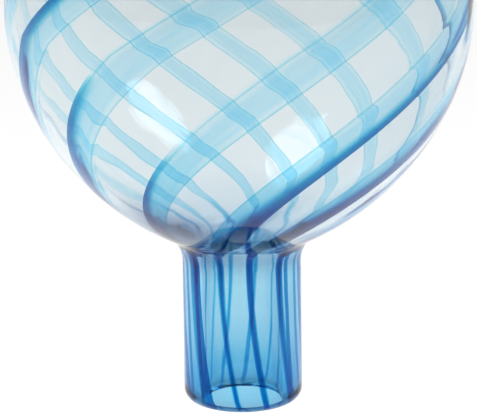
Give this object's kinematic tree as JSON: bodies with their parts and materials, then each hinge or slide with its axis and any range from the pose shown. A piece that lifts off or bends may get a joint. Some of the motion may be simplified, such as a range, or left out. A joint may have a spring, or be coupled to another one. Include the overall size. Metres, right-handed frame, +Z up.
{
  "type": "watering globe",
  "caption": "Hand-blown clear glass watering globe on a short wide open neck, with blue glass canes swirled round it; filled with water and set neck down in a plant pot.",
  "frame": {"origin": "middle of the neck's open rim, at the lowest point of the globe in use", "axes": "+Z up the neck and through the globe's crown, -Y towards the camera of the picture, +X to its right"},
  "size_m": [0.1062, 0.1062, 0.1472],
  "materials": {
    "clear_glass": "clear, fire-polished",
    "blue_glass": "transparent blue, fire-polished"
  },
  "bodies": {
    "root": {"clear_glass_wall": "clear_glass", "blue_cane_01": "blue_glass", "blue_cane_02": "blue_glass", "blue_cane_03": "blue_glass", "blue_cane_04": "blue_glass", "blue_cane_05": "blue_glass", "blue_cane_06": "blue_glass", "blue_cane_07": "blue_glass", "blue_cane_08": "blue_glass", "blue_cane_09": "blue_glass", "blue_cane_10": "blue_glass", "blue_cane_11": "blue_glass", "blue_cane_12": "blue_glass"}
  },
  "joints": []
}
